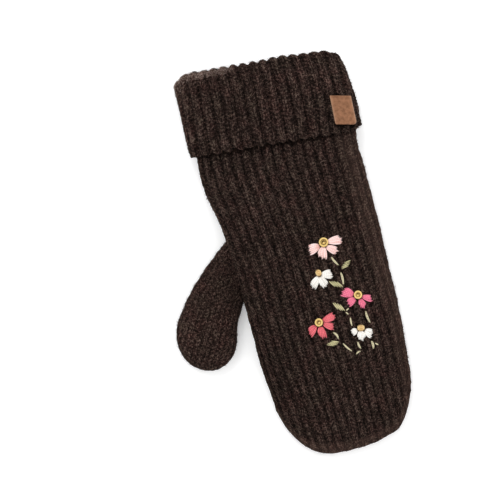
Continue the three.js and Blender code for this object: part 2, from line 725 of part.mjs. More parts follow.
// The middle of the bounding box stands over the origin and its lowest point on the table
const bounds = new THREE.Box3().setFromObject(group);
const middle = bounds.getCenter(new THREE.Vector3());
for (const mesh of group.children) mesh.geometry.translate(-middle.x, -middle.y, -bounds.min.z);

export default group;
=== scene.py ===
import math

import bpy
import numpy as np
from mathutils import Matrix, Vector


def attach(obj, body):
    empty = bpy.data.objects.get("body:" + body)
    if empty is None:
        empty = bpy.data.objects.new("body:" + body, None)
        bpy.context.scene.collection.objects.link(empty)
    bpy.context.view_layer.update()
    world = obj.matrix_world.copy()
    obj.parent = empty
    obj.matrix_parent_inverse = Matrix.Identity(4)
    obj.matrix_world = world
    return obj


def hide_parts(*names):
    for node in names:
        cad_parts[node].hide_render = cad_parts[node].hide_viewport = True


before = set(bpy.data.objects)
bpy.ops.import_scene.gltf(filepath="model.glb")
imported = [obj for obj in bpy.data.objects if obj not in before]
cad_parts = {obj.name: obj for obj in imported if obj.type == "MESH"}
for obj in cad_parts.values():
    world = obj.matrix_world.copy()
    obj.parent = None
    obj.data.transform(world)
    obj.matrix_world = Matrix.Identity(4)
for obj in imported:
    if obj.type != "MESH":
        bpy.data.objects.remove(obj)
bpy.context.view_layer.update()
rng = np.random.default_rng(41)  # for the loose fibres
MM = 0.001

# Place of the cloth's own coordinates, across, along and up in millimetres, in the frame
OFFSET_ACROSS = 23.709
OFFSET_ALONG = 122.52

# Cloth
WALL = 3.2
RIBS = 34
THUMB_WALL = 2.6
CUFF_GAP = 0.5
SIDE_POWER = 4.5
MIDDLE_SHARE = 0.45
FLATTENING = 1.2
TIP_ROUNDING = 15.0
TIP_SHOULDER = 212.0
TIP_LENGTH = 40.3
TIP_POWER = 2.8
LIFT = 13.0

# Knit: depths and lengths in millimetres, and the radius at which the unevenness is drawn
FURROW = 1.3
STITCH = 0.34
COURSE = 2.7
UNEVEN_ROUND = RIBS * 2.3 / (2 * math.pi)
THUMB_RIBS = 26
THUMB_COURSE = 2.5
THUMB_UNEVEN_ROUND = 5.4
THUMB_LENGTH = 92.0
HAND_LENGTH = 201
HAND_RINGS = 318
SEAM = 0.973
# Turn of the ribs by the tip and by the cuff's hem, in thirds of a rib
HAND_TWIST = -3
CUFF_TWIST = 1.8
# Cloth below TOUCHING lies on the floor, and none of it comes nearer than FLOOR_GAP
TOUCHING = 0.6
FLOOR_GAP = 0.02

HAND = np.array([
    # along, left, right, top, floor
    (-12, -53.7, 40.8, 20.0, 3.7),
    (0, -54.6, 43.7, 20.5, 3.7),
    (7, -54.9, 45.9, 20.9, 3.7),
    (15, -55.3, 47.6, 21.2, 3.7),
    (28, -55.9, 48.3, 21.4, 3.7),
    (42, -56.0, 48.3, 21.2, 3.6),
    (54, -57.4, 47.2, 20.8, 2.4),
    (66, -57.4, 46.1, 20.4, 0.4),
    (79, -55.3, 46.2, 20.3, 0),
    (100, -52.4, 45.8, 20.0, 0),
    (120, -50.8, 45.1, 19.6, 0),
    (143, -51.0, 44.2, 19.2, 0),
    (160, -51.4, 43.6, 18.8, 0),
    (184, -52.0, 42.6, 18.0, 0),
    (205, -50.8, 40.2, 17.0, 0),
    (222, -49.6, 38.4, 16.0, 0),
    (254, -48.0, 36.4, 13.5, 0),
], dtype=float)
CUFF = np.array([
    # along, left, right, top, floor
    (-12, -57.4, 44.5, 23.6, 0),
    (0, -58.3, 47.4, 24.2, 0),
    (7, -58.6, 49.6, 24.6, 0),
    (15, -59.0, 51.3, 24.9, 0),
    (28, -59.6, 52.0, 25.1, 0),
    (42, -59.7, 52.1, 24.9, 0),
    (58, -58.7, 51.1, 24.4, 0),
], dtype=float)
# The cuff's hem, from its outer face inwards: share of the way from the fold, and depth
CUFF_HEM = [(0.998, 0.35), (1.0, 0.9), (1.0, 1.7), (0.997, 2.5), (0.985, 3.0),
            (0.95, 3.2), (0.85, 3.2), (0.7, 3.2), (0.5, 3.2)]
DENTS = [
    # across, along, wide, long, deep
    (-20, 92, 22, 30, 0.9),
    (26, 112, 14, 26, 0.8),
    (-24, 178, 20, 24, 1.0),
    (6, 216, 26, 16, 0.8),
]
THUMB_ROOT = (-35.0, 108.0)
THUMB_AIM = (-0.66, 0.7513)
THUMB = np.array([
    # reach, shift, half, middle, rise
    (-22, 1.5, 10.5, 15.4, 5.6),
    (-10, 0.5, 12.6, 14.6, 6.0),
    (0, -1.0, 14.0, 11.8, 6.2),
    (10, -2.8, 14.8, 8.4, 6.3),
    (20, -4.4, 15.2, 6.3, 6.1),
    (34, -5.6, 15.9, 6.2, 6.1),
    (47, -5.6, 17.4, 6.9, 7.0),
    (58, -3.4, 19.2, 7.5, 7.9),
    (67, -1.5, 20.3, 7.7, 8.2),
    (90, 1.5, 20.3, 6.8, 7.2),
], dtype=float)
THUMB_SHOULDER = 66.5
THUMB_END = 88.0
THUMB_ROUNDING = 13.0
THUMB_POWER = 2.6
THUMB_END_POWER = 2.1
THUMB_HOLE_START = -20

# Sides of a thread, points along a loose fibre, its width and its least height over the floor
SIDES = 8
FIBRE_STEPS = 5
FIBRE_WIDE = 0.2
FIBRE_GAP = 0.03


def smooth(low, high, value):
    t = np.clip((value - low) / (high - low), 0, 1)
    return t * t * (3 - 2 * t)


def bell(distance, width):
    return np.exp(-((distance / width) ** 2))


def blend(first, second, share):
    return first * (1 - share) + second * share


def oval(side, power):
    return np.sqrt(np.maximum(0, 1 - np.abs(side) ** power))


def rounded_end(share):
    """Share of the full height, a share of the way from an end to where its rounding stops."""
    return np.sqrt(1 - (1 - np.minimum(1, share)) ** 2)


def unit(vectors):
    return vectors / np.maximum(np.linalg.norm(vectors, axis=-1, keepdims=True), 1e-9)


def left_of(axis):
    return np.array([-axis[1], axis[0]])


def row_at(table, value):
    """A table's columns at each value of its first one, on a smooth curve through its rows."""
    keys = table[:, 0]
    last = len(table) - 1
    i = np.clip(np.searchsorted(keys, value, side="left") - 1, 0, last - 1)
    before, here = table[np.maximum(i - 1, 0)], table[i]
    then, after = table[i + 1], table[np.minimum(i + 2, last)]
    span = (then[..., 0] - here[..., 0])[..., None]
    t = np.clip((value - here[..., 0])[..., None] / span, 0, 1)
    slope_in = (then - before) / (then[..., :1] - before[..., :1]) * span
    slope_out = (after - here) / (after[..., :1] - here[..., :1]) * span
    rise = then - here
    bend = (slope_in + slope_out - 2 * rise) * t + 3 * rise - 2 * slope_in - slope_out
    return np.moveaxis(here + t * (slope_in + t * bend), -1, 0)


def even_walk(power, half_width, half_height):
    """Maps a share of the way over a rounded section, right to left, to its side from 1 to -1."""
    angle = np.linspace(0, math.pi, 1441)
    c = np.cos(angle)
    side = np.sign(c) * np.abs(c) ** (2 / power)
    height = np.sin(angle)
    steps = np.hypot(np.diff(side) * half_width, np.diff(height) * half_height)
    length = np.concatenate([[0], np.cumsum(steps)])
    return lambda share: np.interp(share * length[-1], length, side)


hand_walk = even_walk(SIDE_POWER, 49, 10.5)
thumb_walk = even_walk(THUMB_POWER, 17, 6.5)


def place_around(walk, share):
    """Side from -1 to 1 at a share of the way round, and whether that is on the upper half."""
    turn = np.mod(share, 1.0)
    over = turn <= 0.5
    return walk(np.where(over, turn * 2, (1 - turn) * 2)), over


def fold_line(side):
    corner = np.where(side > 0, 3.4, 5.0) * np.abs(side) ** 16
    return -3.2 + 5.2 * side + corner - 0.9 * bell(side - 0.3, 0.18)


def hem_line(side):
    return 50.8 + 5.8 * side - 3 * np.maximum(0, side) ** 14


def tip_line(side, inset):
    fuller = 1.9 * bell(side - 0.68, 0.13) + bell(side + 0.6, 0.22)
    return TIP_SHOULDER - inset + TIP_LENGTH * oval(side, TIP_POWER) + fuller


def lift_at(across, along):
    sideways = 1 - smooth(-36, -6, across)
    return LIFT * sideways * smooth(58, 98, along) * (1 - smooth(156, 204, along))


def dent_at(across, along):
    depth = 0
    for x, y, wide, long, deep in DENTS:
        depth = depth + deep * np.exp(-(((across - x) / wide) ** 2 + ((along - y) / long) ** 2))
    return depth


def across_at(table, along, inset):
    """Middle of the cloth's width, half of that width, top and floor."""
    _, left, right, top, floor = row_at(table, along)
    return (left + right) / 2, (right - left) / 2 - inset, top, np.maximum(0, floor)


def cloth_point(table, inset, tip, side, over, along):
    """Points of the hand or cuff, inset from the outer face; tip closes the hand's end."""
    centre, half, top, floor = across_at(table, along, inset)
    middle = floor + (top - floor) * MIDDLE_SHARE
    height = oval(side, SIDE_POWER)
    if tip:
        to_tip = np.maximum(0, tip_line(side, inset) - along) / (TIP_ROUNDING - inset)
        height = height * rounded_end(to_tip)
    across = centre + side * half
    lift = lift_at(across, along)
    upper = middle + (top - middle - inset) * height
    upper = upper + lift * (1 - 0.35 * height) - dent_at(across, along) * height
    down = middle - floor - inset + FLATTENING
    lower = np.maximum(middle - down * height, floor + inset) + lift
    return np.stack([across, along, np.where(over, upper, lower)], -1)


def thumb_line(side, inset):
    span = THUMB_END - THUMB_SHOULDER - inset
    return THUMB_SHOULDER + span * oval(side, THUMB_END_POWER)


def thumb_point(inset, side, over, reach):
    _, shift, half, middle, rise = row_at(THUMB, reach)
    to_end = np.maximum(0, thumb_line(side, inset) - reach) / (THUMB_ROUNDING - inset)
    height = oval(side, THUMB_POWER) * rounded_end(to_end)
    sideways = shift + side * (half - inset)
    across = THUMB_ROOT[0] + THUMB_AIM[0] * reach + THUMB_AIM[1] * sideways
    along = THUMB_ROOT[1] + THUMB_AIM[1] * reach - THUMB_AIM[0] * sideways
    up = (rise - inset) * height
    up = np.where(over, middle + up, np.maximum(middle - up, inset))
    return np.stack([across, along, up], -1)


def in_thumb(points, inset):
    """Whether points lie inside the thumb's tube, for the hole in the palm."""
    rel_x = points[..., 0] - THUMB_ROOT[0]
    rel_y = points[..., 1] - THUMB_ROOT[1]
    reach = rel_x * THUMB_AIM[0] + rel_y * THUMB_AIM[1]
    sideways = rel_x * THUMB_AIM[1] - rel_y * THUMB_AIM[0]
    _, shift, half, middle, rise = row_at(THUMB, reach)
    side = (sideways - shift) / (half - inset)
    half_height = (rise - inset) * oval(np.clip(side, -1, 1), THUMB_POWER)
    inside = (np.abs(side) < 1) & (np.abs(points[..., 2] - middle) < half_height)
    return inside & (reach > THUMB_HOLE_START) & (reach < THUMB_SHOULDER)


def to_frame(points):
    out = np.empty_like(points)
    out[..., 0] = (points[..., 0] + OFFSET_ACROSS) * MM
    out[..., 1] = (OFFSET_ALONG - points[..., 1]) * MM
    out[..., 2] = points[..., 2] * MM
    return out


def grid_normals(points, loop):
    """Outward normals of a grid of rings, [ring, column]."""
    along = np.gradient(points, axis=0)
    if loop:
        around = (np.roll(points, -1, 1) - np.roll(points, 1, 1)) / 2
    else:
        around = np.gradient(points, axis=1)
    return unit(np.cross(along, around))


def grid_faces(rings, columns, loop, keep=None):
    cells = columns if loop else columns - 1
    r, c = np.meshgrid(np.arange(rings - 1), np.arange(cells), indexing="ij")
    a = r * columns + c
    b = r * columns + (c + 1) % columns
    faces = np.stack([a, a + columns, b + columns, b], -1).reshape(-1, 4)
    if keep is not None:
        faces = faces[keep.reshape(-1)]
    return faces


def cell_middles(points, loop):
    here, beside = (points, np.roll(points, -1, 1)) if loop else (points[:, :-1], points[:, 1:])
    return (here[:-1] + beside[1:]) / 2


def length_gone(line):
    return np.concatenate([[0], np.cumsum(np.linalg.norm(np.diff(line, axis=0), axis=-1))])


def pressed_flat(points, depth):
    """The relief without what would stand out of the cloth where it lies on the floor."""
    return np.where(points[..., 2] < TOUCHING, np.minimum(depth, 0), depth)


def raised(points, normals, depth):
    points = points + normals * depth[..., None]
    points[..., 2] = np.maximum(points[..., 2], FLOOR_GAP)
    return points


def add_object(name, data):
    piece = bpy.data.objects.new(name, data)
    bpy.context.scene.collection.objects.link(piece)
    return piece


def make_mesh(name, points, faces, material, uv, wrap=None, tone=None):
    """points in cloth millimetres, faces as quads or triangles, uv and tone per point.

    wrap gives a closed grid's columns and the length round it, in the uv's first coordinate.
    """
    mesh = bpy.data.meshes.new(name)
    verts = to_frame(points.reshape(-1, 3)).astype(np.float32)
    faces = np.asarray(faces)[:, ::-1]
    count, corners = faces.shape
    mesh.vertices.add(len(verts))
    mesh.vertices.foreach_set("co", verts.ravel())
    mesh.loops.add(count * corners)
    mesh.loops.foreach_set("vertex_index", faces.ravel().astype(np.int32))
    mesh.polygons.add(count)
    mesh.polygons.foreach_set("loop_start", np.arange(0, count * corners, corners, dtype=np.int32))
    mesh.polygons.foreach_set("use_smooth", np.full(count, True))
    corner_uv = uv.reshape(-1, 2)[faces]
    if wrap:
        column = faces % wrap[0]
        past = (column == 0) & (column.max(1, keepdims=True) == wrap[0] - 1)
        corner_uv[..., 0] += past * wrap[1]
    layer = mesh.uv_layers.new(name="Knit")
    layer.data.foreach_set("uv", corner_uv.astype(np.float32).ravel())
    if tone is not None:
        layer = mesh.attributes.new("tone", "FLOAT", "POINT")
        layer.data.foreach_set("value", np.asarray(tone).astype(np.float32).ravel())
    mesh.update()
    mesh.validate()
    mesh.materials.append(material)
    return add_object(name, mesh)


def make_grid(name, points, loop, material, uv, ribs=0, keep=None, tone=None):
    """A mesh of a grid of rings; a closed grid's Knit map goes on to ribs in its last column."""
    faces = grid_faces(points.shape[0], points.shape[1], loop, keep)
    return make_mesh(name, points, faces, material, uv, (points.shape[1], ribs), tone)


def own(piece, node):
    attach(piece, "root")
    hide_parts(node)


def waves(points, size, seed, count=14):
    """Smooth noise from a few seeded waves, the same on every run."""
    source = np.random.default_rng(seed)
    total = np.zeros(points.shape[:-1])
    for _ in range(count):
        direction = source.normal(size=points.shape[-1])
        direction *= 2 * math.pi / size / np.linalg.norm(direction) * source.uniform(0.6, 1.5)
        total += np.sin(points @ direction + source.uniform(0, 2 * math.pi))
    return total / math.sqrt(count / 2)


def stitch_legs(place):
    return (0.5 + 0.5 * np.cos(2 * math.pi * place)) ** 0.7 - 0.5


def rib_depth(phase, course, vee, seed):
    """Millimetres in or out of the smooth cloth: furrows, crests and the legs of the stitches."""
    off = phase - np.round(phase)
    furrow = bell(off, 0.22)
    crest = -0.2 * np.cos(2 * math.pi * off)
    turn = 2 * math.pi * phase / RIBS
    where = np.stack([UNEVEN_ROUND * np.cos(turn), UNEVEN_ROUND * np.sin(turn), course], -1)
    leg = stitch_legs(course + vee * 0.75 * (1 - 2 * np.abs(off)) + 0.14 * waves(where, 5.0, seed))
    split = -0.16 * bell(np.abs(off) - 0.5, 0.06)
    uneven = 0.16 * waves(where, 2.6, seed + 1) + 0.2 * waves(where, 9.0, seed + 2)
    return -FURROW * furrow + crest + (STITCH * leg + split) * (1 - furrow) + uneven * 0.7


def hand_row(around, inset, low_line, high_line, share):
    """One ring of the hand, a share of the way from one line across it to another."""
    side, over = place_around(hand_walk, around)
    return cloth_point(HAND, inset, True, side, over, blend(low_line(side), high_line(side), share))


def hand_cloth(name, start, stop, per_rib, material, holed):
    """Half of the hand's outer face, from under the cuff to the tip."""
    around = np.linspace(start, stop, int(round((stop - start) * RIBS * per_rib)) + 1)
    # a column past each end, so that the two halves meet without a step
    step = around[1] - around[0]
    around = np.concatenate([[start - step], around, [stop + step]])
    covered = np.linspace(0.55, 0.985, 9)
    shares = np.linspace(0, 1, HAND_RINGS)
    rows = [hand_row(around, 0, fold_line, hem_line, share) for share in covered]
    for share in shares:
        turned = around + HAND_TWIST * smooth(0.15, 1, share) / (RIBS * 3)
        rows.append(hand_row(turned, 0, hem_line, lambda side: tip_line(side, 0), share))
    points = np.array(rows)
    normals = grid_normals(points, False)
    share = np.concatenate([(covered - 1) * 0.27, shares])[:, None]
    phase, course = np.broadcast_arrays(around * RIBS, share * HAND_LENGTH / COURSE)
    depth = rib_depth(phase, course, 1.0, 3) * (1 - smooth(0.95, 0.985, share))
    # the seam across the tip and the gathered cloth past it, both fading at the sides
    at_side = np.abs(place_around(hand_walk, around)[0]) ** 10
    depth = depth - 0.8 * bell(share - SEAM, 0.009) * (1 - at_side)
    rim = smooth(0.975, 0.99, share) * (1 - at_side)
    gathers = np.sin(2 * math.pi * phase * 3 + 3 * share * 90)
    depth = depth + rim * 0.3 * gathers * (1 - smooth(0.996, 1.0, share))
    depth = depth + rim * 0.35 * waves(points, 7.0, 77)
    depth = pressed_flat(points, depth) * (1 - smooth(0.992, 1.0, share) * 0.7)
    points = raised(points, normals, depth)[:, 1:-1]
    uv = np.stack([phase, course], -1)[:, 1:-1]
    keep = ~in_thumb(cell_middles(points, False), THUMB_WALL) if holed else None
    # painted highlight of lit fuzz on the right side and tip; painted shadow under the cuff's hem
    right_edge = 1 - smooth(1.7, 3.4, phase) + smooth(RIBS - 1.5, RIBS, phase)
    under_hem = bell(share * HAND_LENGTH, 1.8) + (share < 0)
    tone = np.maximum(right_edge, smooth(0.962, 0.98, share)) - 1.1 * under_hem
    piece = make_grid(name, points, False, material, uv, 0, keep, tone[:, 1:-1])
    return piece, points, normals[:, 1:-1]


def cuff_cloth(material):
    """The turned-back cuff: up inside the mouth, over the fold, down to the hem and under it."""
    per_rib = 10
    around = np.arange(RIBS * per_rib) / (RIBS * per_rib)
    fold = 2 * WALL + CUFF_GAP
    # past the fold line or else share of the way to the hem, inset, relief, share of the twist
    steps = [(past, None, fold, 0.15, 0) for past in np.linspace(14, 3.6, 10)]
    for angle in np.linspace(0, math.pi, 17):
        relief = 0.15 + 0.85 * smooth(0.15 * math.pi, 0.45 * math.pi, angle)
        inset = fold / 2 * (1 + math.cos(angle))
        steps.append((3.0 * (1 - math.sin(angle)), None, inset, relief, 0))
    steps += [(None, share, 0, 1, share) for share in np.linspace(0.08, 0.992, 78)]
    steps += [(None, share, inset, 1 if inset < 2 else 0.1, 1) for share, inset in CUFF_HEM]
    wave = 0.35 * np.sin(2 * math.pi * around * RIBS) + 0.3 * waves(around[:, None] * 400, 17, 5)
    rows = []
    for past, share, inset, _, twisted in steps:
        side, over = place_around(hand_walk, around + CUFF_TWIST * twisted / (RIBS * 3))
        if past is not None:
            along = fold_line(side) + past
        else:
            along = blend(fold_line(side), hem_line(side), share) + wave * smooth(0.9, 1, share)
        rows.append(cloth_point(CUFF, inset, False, side, over, along))
    points = np.array(rows)
    gone = length_gone(points[:, len(around) // 4])[:, None]
    normals = grid_normals(points, True)
    phase, course = np.broadcast_arrays(around * RIBS, gone / COURSE)
    relief = np.array([row[3] for row in steps])[:, None]
    points = raised(points, normals, rib_depth(phase, course, -1.0, 21) * relief)
    uv = np.stack(np.broadcast_arrays(np.arange(len(around)) / per_rib, course), -1)
    # darker in the shadow below the tag
    x, y, z = np.moveaxis(points, -1, 0)
    low = tag_point(np.linspace(0, 1, 9), np.ones(9), 0)
    left, right = low[0, 0], low[-1, 0]
    beside = smooth(left - 1, left + 1, x) * (1 - smooth(right - 1, right + 1, x))
    below = y - np.interp(x, low[:, 0], low[:, 1])
    shaded = bell(below - 0.6, 1.4) * beside * (z > 12)
    # painted highlight of lit fuzz along the fold and down the left side, in ribs 9 to 18 from the
    # right
    on_left = 1 - smooth(17.5, 18.5, phase)
    rim = smooth(9.3, 12.0, phase) * bell(gone - 20.5, 2.6)
    flank = smooth(14.6, 16.0, phase) * bell(gone - 18, 15)
    tone = on_left * np.maximum(rim, flank) - shaded
    piece = make_grid("cuff_knit", points, True, material, uv, RIBS, None, tone)
    return piece, points, normals, (on_left * rim > 0.4), (on_left * flank > 0.6)


def lining_cloth(material):
    """The hand's inner face, from the tip up to the fold of the cuff."""
    columns = RIBS * 4
    around = np.arange(columns) / columns
    shares = np.concatenate([np.linspace(1, 0.9, 22), np.linspace(0.89, 0.0, 66)])
    rows = [hand_row(around, WALL, hem_line, lambda side: tip_line(side, WALL), share)
            for share in shares]
    rows += [hand_row(around, WALL, lambda side: fold_line(side) + 11, hem_line, share)
             for share in np.linspace(0.95, 0.0, 14)]
    points = np.array(rows)
    normals = grid_normals(points, True)
    gone = length_gone(points[:, columns // 4])[:, None]
    phase, course = np.broadcast_arrays(around * RIBS, gone / COURSE)
    depth = -0.35 * np.cos(2 * math.pi * phase) + 0.2 * waves(points, 8, 31)
    points = raised(points, normals, depth * smooth(0, 12, gone))
    keep = ~in_thumb(cell_middles(points, True), THUMB_WALL)
    uv = np.stack([phase, course], -1)
    return make_grid("lining_knit", points, True, material, uv, RIBS, keep)


def palm_height(across, along, inset):
    """Height of the palm cloth's lower (inset 0) or inner (inset WALL) surface."""
    centre, half, _, _ = across_at(HAND, along, inset)
    side = (across - centre) / half
    held = np.clip(side, -1, 1)
    height = cloth_point(HAND, inset, True, held, False, along)[..., 2]
    return np.where((np.abs(side) < 1) & (along < tip_line(held, inset)), height, 1e3)


def thumb_cloth(material, lining):
    """The thumb's outer or inner face, from the palm cloth to its end."""
    inset, wall, sunk, start = (THUMB_WALL, WALL, 0.4, -20) if lining else (0, 0, 0.9, -16)
    columns, rings = (72, 60) if lining else (160, 168)
    around = np.arange(columns) / columns
    side, over = place_around(thumb_walk, around)
    shares = np.linspace(0, 1, rings) ** 0.94
    if lining:
        shares = shares[::-1]
    points = np.array([
        thumb_point(inset, side, over, blend(start, thumb_line(side, inset), share))
        for share in shares])
    normals = grid_normals(points, True)
    share = shares[:, None]
    phase, course = np.broadcast_arrays(around * THUMB_RIBS, share * THUMB_LENGTH / THUMB_COURSE)
    if not lining:
        off = phase - np.round(phase)
        turn = 2 * math.pi * around
        where = np.stack(np.broadcast_arrays(
            THUMB_UNEVEN_ROUND * np.cos(turn), THUMB_UNEVEN_ROUND * np.sin(turn), course), -1)
        leg = stitch_legs(course + 0.6 * (1 - 2 * np.abs(off)) + 0.12 * waves(where, 5, 51))
        depth = 0.3 * leg - 0.34 * bell(off, 0.16)
        depth = depth + 0.14 * waves(where, 2.6, 52) + 0.2 * waves(where, 9, 53)
        depth = pressed_flat(points, depth) * (1 - 0.7 * smooth(0.985, 1.0, share))
        points = raised(points, normals, depth)
    x, y, z = np.moveaxis(cell_middles(points, True), -1, 0)
    keep = z < palm_height(x, y, wall) + sunk
    uv = np.stack([phase, course], -1)
    name = "thumb_lining_knit" if lining else "thumb_knit"
    piece = make_grid(name, points, True, material, uv, THUMB_RIBS, keep)
    return piece, points, normals


def back_height(table, across, along):
    """Height of the hand's or the cuff's upper face."""
    centre, half, _, _ = across_at(table, np.asarray(along, dtype=float), 0)
    side = np.clip((across - centre) / half, -1, 1)
    return cloth_point(table, 0, table is HAND, side, True, along)[..., 2]


def tube_faces(count, length):
    """Triangles of count tubes of length points each, each end closed by a fan."""
    ring, side = np.meshgrid(np.arange(length - 1), np.arange(SIDES), indexing="ij")
    a = ring * SIDES + side
    b = ring * SIDES + (side + 1) % SIDES
    skin = np.stack([a, b, b + SIDES, a, b + SIDES, a + SIDES], -1).reshape(-1, 3)
    s = np.arange(SIDES)
    tip = np.full(SIDES, length * SIDES)
    last = (length - 1) * SIDES
    one = np.concatenate([skin, np.stack([tip, (s + 1) % SIDES, s], -1),
                          np.stack([tip + 1, last + s, last + (s + 1) % SIDES], -1)])
    return (one[None] + (np.arange(count) * (length * SIDES + 2))[:, None, None]).reshape(-1, 3)


def threads(node, slot, paths, radius, tone):
    """Threads along paths [thread, point, 3] in cloth millimetres, in place of a node's pad.

    tone is one value per thread, or one per thread and point.
    """
    paths = np.asarray(paths, dtype=float)
    count, length, _ = paths.shape
    tangent = unit(np.gradient(paths, axis=1))
    steep = np.abs(tangent[..., 2:]) > 0.96
    across = unit(np.cross(tangent, np.where(steep, [1.0, 0, 0], [0, 0, 1.0])))
    up = np.cross(across, tangent)
    angle = np.arange(SIDES) * 2 * math.pi / SIDES
    radius = np.broadcast_to(np.asarray(radius, dtype=float), (count, length))[..., None, None]
    ring = across[:, :, None] * np.cos(angle)[:, None] + up[:, :, None] * np.sin(angle)[:, None]
    body = (paths[:, :, None] + ring * radius).reshape(count, length * SIDES, 3)
    points = np.concatenate([body, paths[:, :1], paths[:, -1:]], 1).reshape(-1, 3)
    steps = np.linalg.norm(np.diff(paths, axis=1), axis=-1)
    gone = np.concatenate([np.zeros((count, 1)), np.cumsum(steps, axis=1)], 1)
    shape = (count, length, SIDES)
    uv = np.stack([np.broadcast_to(angle / (2 * math.pi), shape),
                   np.broadcast_to(gone[..., None], shape)], -1).reshape(count, -1, 2)
    uv = np.concatenate([uv, np.zeros((count, 2, 2))], 1).reshape(-1, 2)
    tone = np.broadcast_to(np.asarray(tone, dtype=float).reshape(count, -1), (count, length))
    tone = np.concatenate([np.repeat(tone, SIDES, axis=1), tone[:, :1], tone[:, -1:]], 1)
    faces = tube_faces(count, length)[:, ::-1]
    own(make_mesh(f"{node}_threads", points, faces, THREADS[slot], uv, None, tone), node)


def square_to(axis, vectors):
    return unit(vectors - axis * (vectors * axis).sum(-1, keepdims=True))


def fuzz(name, sets, count, long, material, source):
    """Loose fibres as narrow ribbons, from points and normals of the cloth below them."""
    places = np.concatenate([points.reshape(-1, 3) for points, _ in sets])
    outward = np.concatenate([normals.reshape(-1, 3) for _, normals in sets])
    chosen = source.integers(0, len(places), count)
    normal = outward[chosen]
    place = places[chosen] + source.normal(size=(count, 3)) * 0.25
    free = square_to(normal, source.normal(size=(count, 3)))
    bend = square_to(free, source.normal(size=(count, 3)))
    rise = 0.05 + 0.4 * source.uniform(0, 1, (count, 1)) ** 2
    length = long * source.uniform(0.5, 1.25, (count, 1))
    curl = source.uniform(-0.9, 0.9, (count, 1))
    t = np.linspace(0, 1, FIBRE_STEPS)[None, :, None]
    direction = free * (1 - 0.35 * rise) + normal * rise
    path = place[:, None] + direction[:, None] * (t * length[:, None])
    path = path + bend[:, None] * (curl[:, None] * length[:, None] * 0.5 * t * t)
    path = path - normal[:, None] * (0.32 * rise[:, None] * length[:, None] * t * t)
    tangent = np.gradient(path, axis=1)
    roll = source.normal(size=(count, 1, 3))
    across = unit(np.cross(tangent, roll))
    width = FIBRE_WIDE * (1 - 0.75 * t)
    left, right = path - across * width / 2, path + across * width / 2
    points = np.stack([left, right], 2).reshape(count, FIBRE_STEPS * 2, 3)
    points[..., 2] = np.maximum(points[..., 2], FIBRE_GAP)
    k = np.arange(FIBRE_STEPS - 1) * 2
    one = np.stack([k, k + 1, k + 3, k, k + 3, k + 2], -1).reshape(-1, 3)
    faces = (one[None] + (np.arange(count) * FIBRE_STEPS * 2)[:, None, None]).reshape(-1, 3)
    tone = np.repeat(source.uniform(0, 1, count), FIBRE_STEPS * 2)
    uv = np.stack([tone, np.tile(np.repeat(np.linspace(0, 1, FIBRE_STEPS), 2), count)], -1)
    return make_mesh(name, points.reshape(-1, 3), faces, material, uv)


PETAL_SIZE = 0.88

# Embroidery, in millimetres across and along; a petal's outline starts at its foot by the eye
FLOWERS = [
    # name, thread, kind, place and half sizes of the eye, outlines of the petals
    ("pale_pink", "pale_pink_thread", "ring", (7.4, 119.1), 2.75, 2.75, [
        [(10.7, 119.6), (13.4, 117.8), (17.6, 117.5), (19.4, 122.2), (13.7, 122.2)],
        [(9.0, 122.8), (12.6, 122.8), (14.8, 125.9), (13.1, 128.9), (9.9, 126.4)],
        [(6.3, 122.7), (3.4, 123.1), (1.8, 125.6), (3.5, 128.9), (6.0, 129.8), (7.6, 125.5)],
        [(3.6, 120.8), (1.6, 118.6), (-1.5, 118.1), (-3.2, 121.2), (-2.6, 125.6), (1.1, 123.4)]]),
    ("white_upper", "white_thread", "dome", (-0.9, 137.0), 1.65, 1.95, [
        [(-2.1, 139.9), (-4.7, 139.6), (-7.5, 142.6), (-7.1, 145.8), (-4.6, 145.9), (-2.8, 143.1)],
        [(-0.5, 140.4), (-1.9, 143.1), (-1.6, 145.3), (0.7, 147.6), (2.7, 145.7), (2.3, 141.9)],
        [(1.3, 138.7), (3.7, 136.8), (6.6, 137.2), (7.3, 142.6), (4.7, 142.5)]]),
    ("rose", "rose_thread", "ring", (19.6, 157.1), 2.4, 2.4, [
        [(16.2, 156.2), (15.9, 152.5), (13.5, 150.8), (10.8, 151.9), (9.0, 155.0), (12.4, 156.7)],
        [(16.6, 159.3), (14.3, 158.1), (11.9, 158.0), (12.2, 163.4), (15.2, 161.8)],
        [(20.4, 160.8), (18.6, 162.1), (19.3, 164.9), (21.1, 167.0), (22.6, 164.4), (22.2, 161.9)],
        [(22.4, 159.3), (24.8, 158.7), (27.3, 159.9), (27.1, 164.3), (23.8, 161.8)]]),
    ("coral", "coral_thread", "ring", (-9.1, 167.4), 2.35, 2.35, [
        [(-5.8, 167.0), (-3.3, 165.0), (-0.1, 163.7), (2.6, 166.2), (-0.1, 168.4), (-3.4, 168.4)],
        [(-6.0, 169.5), (-2.7, 169.4), (-0.3, 171.1), (-1.6, 174.9), (-4.9, 172.4)],
        [(-8.6, 171.1), (-11.0, 172.0), (-11.5, 174.5), (-9.1, 178.1), (-6.8, 177.9),
         (-6.9, 173.2)],
        [(-12.1, 169.5), (-14.1, 168.4), (-16.7, 169.8), (-16.3, 175.1), (-13.2, 172.9)]]),
    ("white_lower", "white_thread", "dome", (15.8, 177.9), 2.25, 1.85, [
        [(12.5, 178.7), (11.1, 176.9), (9.1, 177.6), (9.1, 180.5), (11.4, 181.1)],
        [(15.0, 180.4), (12.6, 181.2), (12.5, 184.1), (14.3, 186.4), (16.5, 184.7), (17.1, 181.8)],
        [(18.3, 180.7), (20.1, 179.6), (22.3, 180.7), (22.0, 183.8), (19.6, 186.7),
         (18.1, 183.4)]]),
]
